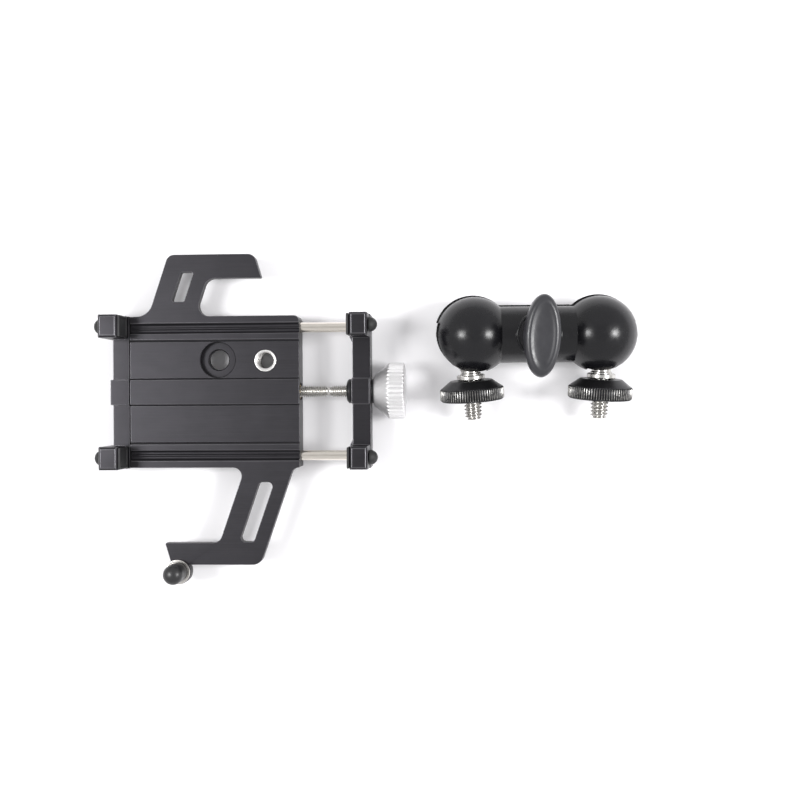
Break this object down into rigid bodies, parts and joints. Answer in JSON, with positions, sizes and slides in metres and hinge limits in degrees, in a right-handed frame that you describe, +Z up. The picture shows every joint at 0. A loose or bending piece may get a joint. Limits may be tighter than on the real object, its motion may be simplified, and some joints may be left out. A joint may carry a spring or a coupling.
{
  "type": "phone clamp and ball arm mount",
  "caption": "Screw-driven phone clamp with hooked side arms and an end post, beside a double ball arm with wing knob, threaded studs and knurled lock nuts.",
  "frame": {"origin": "middle of the kit's box in X and Y, on the table it lies on", "axes": "+X from the clamp's fixed jaw towards the ball arm, +Y towards the rear hooked arm, +Z up"},
  "size_m": [0.191, 0.1178, 0.0361],
  "materials": {
    "anodised": "satin black anodised, fine brushed grain",
    "rubber": "moulded matt black rubber",
    "steel": "polished stainless steel",
    "aluminium": "satin turned and knurled",
    "brass": "turned",
    "black_steel": "black oxide, satin",
    "black_plastic": "satin black moulded",
    "grey_plastic": "satin dark grey moulded"
  },
  "bodies": {
    "clamp_body": {"clamp_body": "anodised", "threaded_bush": "steel", "lead_nut": "brass", "fixed_jaw": "anodised", "fixed_jaw_screw_front": "black_steel", "fixed_jaw_screw_rear": "black_steel", "fixed_pad_front": "rubber", "fixed_pad_rear": "rubber", "end_post": "steel", "end_post_cap": "rubber", "end_post_screw": "black_steel"},
    "sliding_jaw": {"sliding_jaw": "anodised", "sliding_pad_front": "rubber", "sliding_pad_rear": "rubber", "guide_rod_front": "steel", "guide_rod_rear": "steel"},
    "drive_screw": {"lead_screw": "steel", "retaining_collar": "black_steel", "thrust_washer": "black_steel", "adjust_knob": "aluminium", "knob_grub_screw": "black_steel"},
    "arm_base": {"lower_shell": "black_plastic", "clamp_bolt": "steel", "shell_spring": "steel"},
    "arm_cover": {"upper_shell": "black_plastic", "knob_washer": "black_steel"},
    "wing_knob": {"wing_knob": "grey_plastic", "wing_knob_insert": "brass"},
    "left_ball": {"socket_ball_left": "steel"},
    "left_stud": {"ball_stud_left": "steel"},
    "left_nut_pad": {"nut_pad_left": "rubber"},
    "left_lock_nut": {"lock_nut_left": "black_steel"},
    "right_ball": {"socket_ball_right": "steel"},
    "right_stud": {"ball_stud_right": "steel"},
    "right_nut_pad": {"nut_pad_right": "rubber"},
    "right_lock_nut": {"lock_nut_right": "black_steel"}
  },
  "joints": [
    {"name": "jaw_slide", "type": "slide", "parent": "clamp_body", "child": "sliding_jaw", "axis": [0.9986, 0.0061, 0.053], "range_m": [-0.016, 0.0112]},
    {"name": "knob_turn", "type": "hinge", "parent": "sliding_jaw", "child": "drive_screw", "pos_m": [0.00659, 0.01017, 0.00991], "axis": [0.9986, 0.0061, 0.053], "range_deg": [-8229, 5761]},
    {"name": "arm_lift", "type": "slide", "parent": "clamp_body", "child": "arm_base", "axis": [0, 0, 1], "range_m": [0, 0.06]},
    {"name": "shell_open", "type": "slide", "parent": "arm_base", "child": "arm_cover", "axis": [0.0011, -0.0962, 0.9954], "range_m": [0, 0.0008], "deforming": ["shell_spring"]},
    {"name": "wing_turn", "type": "hinge", "parent": "arm_cover", "child": "wing_knob", "pos_m": [0.06061, 0.02893, 0.02843], "axis": [0.0011, -0.0962, 0.9954], "range_deg": [0, 289]},
    {"name": "left_swing", "type": "hinge", "parent": "arm_base", "child": "left_ball", "pos_m": [0.03659, 0.0301, 0.0135], "axis": [0.0011, -0.0962, 0.9954], "range_deg": [-36, 5.5]},
    {"name": "left_spin", "type": "hinge", "parent": "left_ball", "child": "left_stud", "pos_m": [0.03659, 0.0301, 0.0135], "axis": [0.0741, -0.9926, -0.096], "continuous": true},
    {"name": "left_nut_travel", "type": "slide", "parent": "left_stud", "child": "left_nut_pad", "axis": [0.0741, -0.9926, -0.096], "range_m": [0, 0.005]},
    {"name": "left_nut_turn", "type": "hinge", "parent": "left_nut_pad", "child": "left_lock_nut", "pos_m": [0.03807, 0.01025, 0.01158], "axis": [0.0741, -0.9926, -0.096], "range_deg": [0, 1418]},
    {"name": "right_swing", "type": "hinge", "parent": "arm_base", "child": "right_ball", "pos_m": [0.08459, 0.03065, 0.0135], "axis": [0.0011, -0.0962, 0.9954], "range_deg": [-5.5, 92.5]},
    {"name": "right_spin", "type": "hinge", "parent": "right_ball", "child": "right_stud", "pos_m": [0.08459, 0.03065, 0.0135], "axis": [-0.0411, -0.9945, -0.0961], "continuous": true},
    {"name": "right_nut_travel", "type": "slide", "parent": "right_stud", "child": "right_nut_pad", "axis": [-0.0411, -0.9945, -0.0961], "range_m": [0, 0.005]},
    {"name": "right_nut_turn", "type": "hinge", "parent": "right_nut_pad", "child": "right_lock_nut", "pos_m": [0.08377, 0.01076, 0.01158], "axis": [-0.0411, -0.9945, -0.0961], "range_deg": [0, 1418]}
  ],
  "couplings": [
    {"joint": "knob_turn", "follows": "jaw_slide", "rad_per_m": 8976},
    {"joint": "wing_turn", "follows": "shell_open", "rad_per_m": 6283.2},
    {"joint": "left_nut_turn", "follows": "left_nut_travel", "rad_per_m": 4947.4},
    {"joint": "right_nut_turn", "follows": "right_nut_travel", "rad_per_m": 4947.4}
  ]
}
